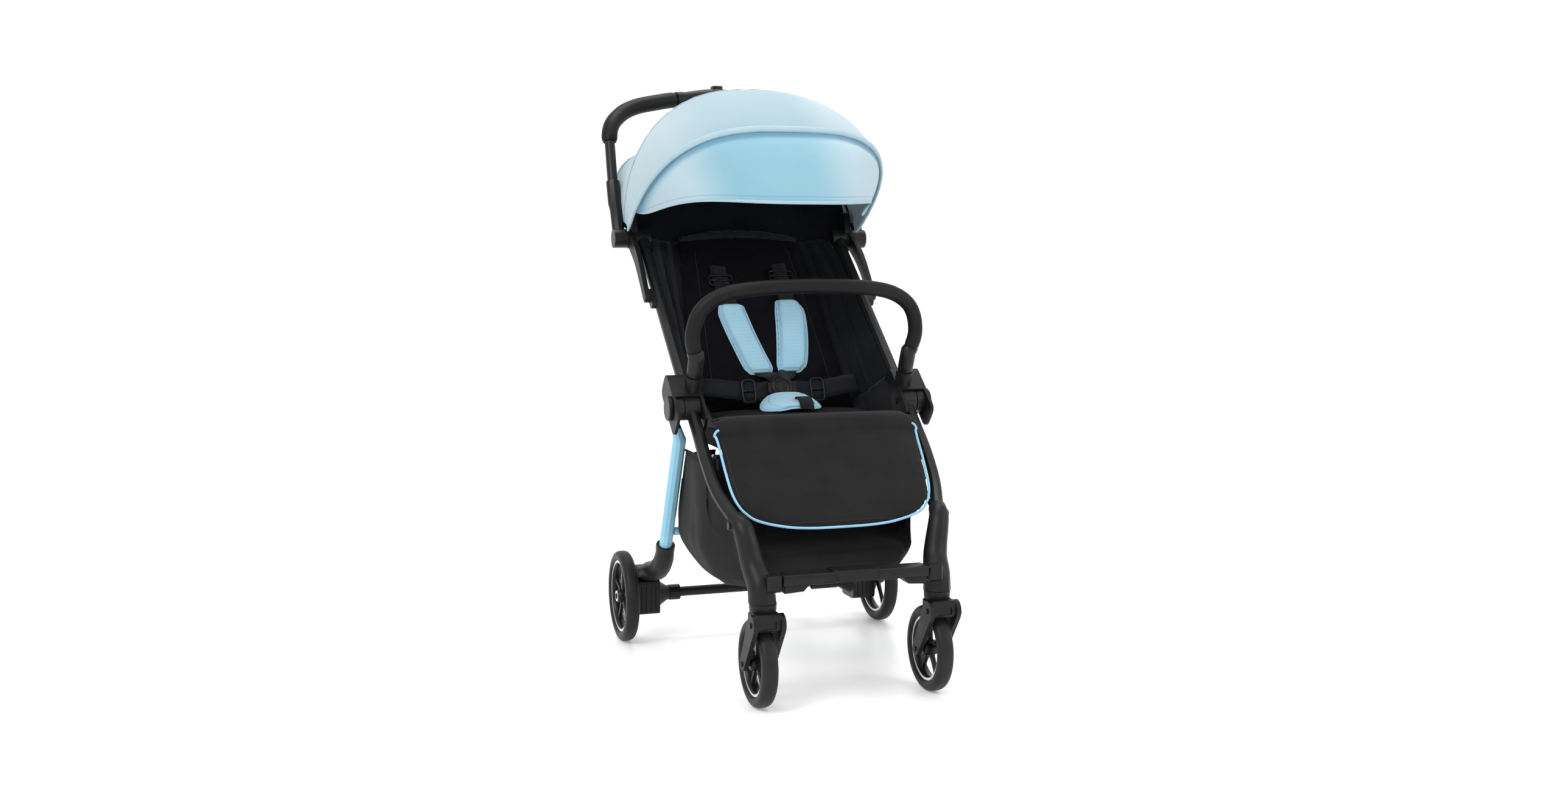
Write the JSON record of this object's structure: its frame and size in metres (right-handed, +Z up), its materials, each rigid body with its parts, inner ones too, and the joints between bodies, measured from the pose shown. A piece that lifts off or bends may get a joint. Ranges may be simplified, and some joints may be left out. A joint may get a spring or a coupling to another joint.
{
  "type": "lightweight stroller",
  "caption": "Folding lightweight stroller with swivelling front casters, bumper bar, sprung canopy arches, calf rest, harness pads, one-hand fold handle and shopping basket.",
  "frame": {"origin": "bottom centre of the bounding box, on the floor", "axes": "+X to the right-hand side seen from the front camera, -Y to the front, +Z up"},
  "size_m": [0.533, 0.8076, 1.0369],
  "materials": {
    "black_plastic": "fine satin moulding",
    "black_paint": "satin black paint",
    "blue_paint": "satin light blue paint",
    "tyre_foam": "matt foam tyre",
    "grip_foam": "matt foam",
    "blue_fabric": "light blue woven cloth",
    "black_fabric": "black woven cloth",
    "charcoal_fabric": "charcoal woven cloth"
  },
  "bodies": {
    "front_frame": {"front_leg_left": "black_paint", "front_leg_right": "black_paint", "leg_casting_left": "black_plastic", "leg_casting_right": "black_plastic", "front_beam": "black_plastic", "seat_crossbar": "black_plastic", "seat_pad": "black_fabric", "crotch_pad": "blue_fabric", "harness_buckle": "black_plastic", "basket": "black_fabric"},
    "calf_rest": {"calf_flap": "charcoal_fabric"},
    "upper_frame": {"hub_housing_left": "black_plastic", "hub_housing_right": "black_plastic", "hub_cap_left": "black_plastic", "hub_cap_right": "black_plastic", "main_tube_left": "black_paint", "main_tube_right": "black_paint", "knuckle_left": "black_plastic", "knuckle_right": "black_plastic", "seat_side_left": "black_fabric", "seat_side_right": "black_fabric", "canopy_panel": "blue_fabric", "canopy_rear": "blue_fabric", "rear_panel": "black_fabric"},
    "rear_frame": {"rear_leg_left": "blue_paint", "rear_leg_right": "blue_paint", "rear_socket_left": "black_plastic", "rear_socket_right": "black_plastic", "axle_housing_left": "black_plastic", "axle_housing_right": "black_plastic", "rear_axle_bar": "black_paint", "rear_brace": "blue_paint"},
    "handle": {"handle_tube": "black_paint", "handle_grip_left": "grip_foam", "handle_grip_right": "grip_foam", "handle_unit": "black_plastic", "handle_sleeve_left": "black_plastic", "handle_sleeve_right": "black_plastic"},
    "fold_button": {"fold_button": "black_plastic"},
    "fold_lock": {"fold_lock": "black_plastic"},
    "bumper": {"bumper_bar": "grip_foam"},
    "backrest": {"backrest": "black_fabric", "shoulder_pad_left": "blue_fabric", "shoulder_pad_right": "blue_fabric"},
    "canopy_front": {"canopy_visor": "blue_fabric"},
    "caster_left": {"caster_fork_left": "black_plastic"},
    "caster_right": {"caster_fork_right": "black_plastic"},
    "front_wheel_left": {"front_rim_left": "black_plastic", "front_tyre_left": "tyre_foam"},
    "front_wheel_right": {"front_rim_right": "black_plastic", "front_tyre_right": "tyre_foam"},
    "rear_wheel_left": {"rear_rim_left": "black_plastic", "rear_tyre_left": "tyre_foam"},
    "rear_wheel_right": {"rear_rim_right": "black_plastic", "rear_tyre_right": "tyre_foam"},
    "brake": {"brake_pedal": "black_plastic"}
  },
  "joints": [
    {"name": "frame_fold", "type": "hinge", "parent": "front_frame", "child": "upper_frame", "pos_m": [0, -0.11578, 0.453], "axis": [1, 0, 0], "range_deg": [0, 70]},
    {"name": "rear_leg_fold", "type": "hinge", "parent": "front_frame", "child": "rear_frame", "pos_m": [0, -0.11578, 0.453], "axis": [-1, 0, 0], "range_deg": [0, 42], "deforming": ["basket"]},
    {"name": "handle_fold", "type": "hinge", "parent": "upper_frame", "child": "handle", "pos_m": [0, 0.22078, 0.73641], "axis": [-1, 0, 0], "range_deg": [0, 126]},
    {"name": "fold_button_press", "type": "slide", "parent": "handle", "child": "fold_button", "axis": [0, 1, 0], "range_m": [0, 0.003], "stiffness_N_per_m": 300, "springref_m": -0.003},
    {"name": "fold_lock_slide", "type": "slide", "parent": "handle", "child": "fold_lock", "axis": [1, 0, 0], "range_m": [0, 0.008]},
    {"name": "bumper_lift", "type": "slide", "parent": "upper_frame", "child": "bumper", "axis": [0, -0.3879, 0.9217], "range_m": [0, 0.03]},
    {"name": "backrest_recline", "type": "hinge", "parent": "upper_frame", "child": "backrest", "pos_m": [0, 0.01397, 0.41754], "axis": [-1, 0, 0], "range_deg": [0, 30], "deforming": ["seat_side_left", "seat_side_right", "rear_panel"]},
    {"name": "canopy_fold", "type": "hinge", "parent": "upper_frame", "child": "canopy_front", "pos_m": [0, 0.22972, 0.733], "axis": [-1, 0, 0], "range_deg": [0, 44], "deforming": ["canopy_panel"]},
    {"name": "calf_rest_tilt", "type": "hinge", "parent": "front_frame", "child": "calf_rest", "pos_m": [0, -0.19418, 0.40879], "axis": [-1, 0, 0], "range_deg": [0, 50]},
    {"name": "brake_press", "type": "hinge", "parent": "rear_frame", "child": "brake", "pos_m": [0, 0.14822, 0.0825], "axis": [-1, 0, 0], "range_deg": [0, 20]},
    {"name": "caster_swivel_left", "type": "hinge", "parent": "front_frame", "child": "caster_left", "pos_m": [-0.1475, -0.35878, 0.171], "axis": [0, 0, 1], "continuous": true},
    {"name": "front_wheel_spin_left", "type": "hinge", "parent": "caster_left", "child": "front_wheel_left", "pos_m": [-0.1475, -0.33378, 0.07], "axis": [1, 0, 0], "continuous": true},
    {"name": "rear_wheel_spin_left", "type": "hinge", "parent": "rear_frame", "child": "rear_wheel_left", "pos_m": [-0.251, 0.14822, 0.0825], "axis": [1, 0, 0], "continuous": true},
    {"name": "caster_swivel_right", "type": "hinge", "parent": "front_frame", "child": "caster_right", "pos_m": [0.1475, -0.35878, 0.171], "axis": [0, 0, 1], "continuous": true},
    {"name": "front_wheel_spin_right", "type": "hinge", "parent": "caster_right", "child": "front_wheel_right", "pos_m": [0.1475, -0.33378, 0.07], "axis": [1, 0, 0], "continuous": true},
    {"name": "rear_wheel_spin_right", "type": "hinge", "parent": "rear_frame", "child": "rear_wheel_right", "pos_m": [0.251, 0.14822, 0.0825], "axis": [1, 0, 0], "continuous": true}
  ],
  "couplings": [
    {"joint": "rear_leg_fold", "follows": "frame_fold", "ratio": 0.6},
    {"joint": "handle_fold", "follows": "frame_fold", "ratio": 1.8}
  ]
}
